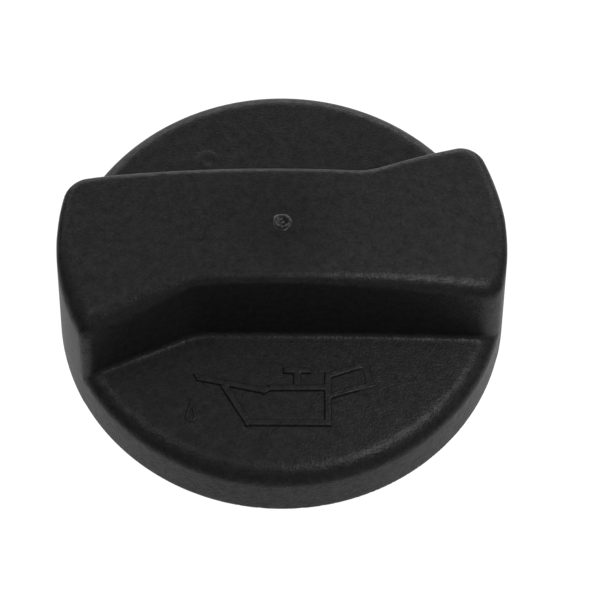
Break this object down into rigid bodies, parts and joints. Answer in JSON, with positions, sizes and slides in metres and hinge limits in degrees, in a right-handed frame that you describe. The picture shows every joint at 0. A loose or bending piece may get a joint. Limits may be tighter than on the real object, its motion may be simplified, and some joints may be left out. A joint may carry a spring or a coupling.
{
  "type": "oil filler cap",
  "caption": "Round black plastic engine oil filler cap with a broad S-shaped grip, a raised oil-can symbol, a hollow bayonet plug and a flat rubber sealing ring.",
  "frame": {"origin": "on the cap's axis, in the plane where the sealing ring meets the top of the filler neck", "axes": "+Z along the cap's axis towards the grip's top; +X along the grip's length, +Y across it"},
  "size_m": [0.065, 0.065, 0.0383],
  "materials": {
    "shell_plastic": "fine-grained matt black, moulded",
    "plug_plastic": "satin black, moulded",
    "seal_rubber": "matt black rubber"
  },
  "bodies": {
    "root": {"cap_shell": "shell_plastic", "bayonet_plug": "plug_plastic", "sealing_ring": "seal_rubber"}
  },
  "joints": []
}
